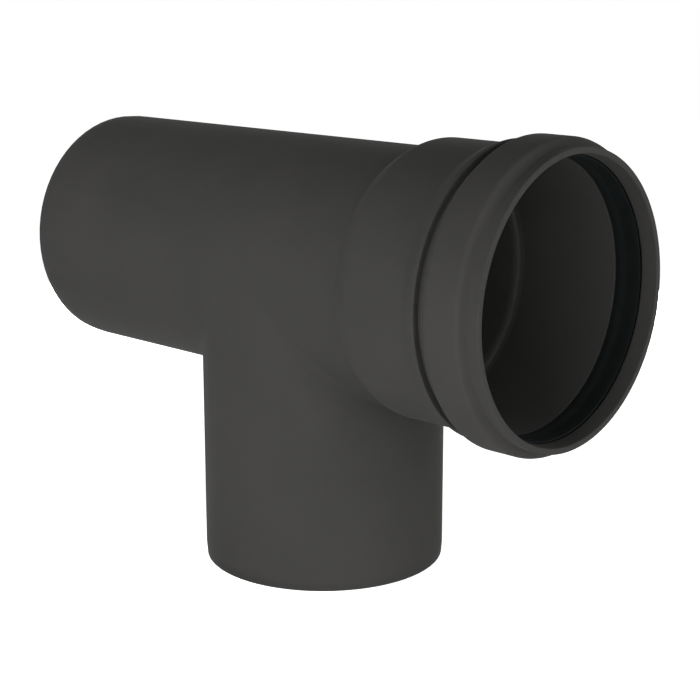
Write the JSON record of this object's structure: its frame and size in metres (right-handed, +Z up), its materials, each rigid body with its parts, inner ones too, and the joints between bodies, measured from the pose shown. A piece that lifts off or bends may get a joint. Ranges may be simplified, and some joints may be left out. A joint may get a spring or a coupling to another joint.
{
  "type": "stove pipe tee",
  "caption": "Stove pipe tee: straight run with a plain end and a belled socket with a seal, and a plain branch at a right angle.",
  "frame": {"origin": "centre of the branch's cut end, on the surface that the tee stands on", "axes": "+X along the run towards the socket's mouth, +Z up the branch's axis, +Y across the run"},
  "size_m": [0.2, 0.094, 0.147],
  "materials": {
    "black_enamel": "matte black baked enamel on sheet steel",
    "black_silicone": "satin black moulded silicone"
  },
  "bodies": {
    "root": {"tee_body": "black_enamel", "socket": "black_enamel", "seal": "black_silicone"}
  },
  "joints": []
}
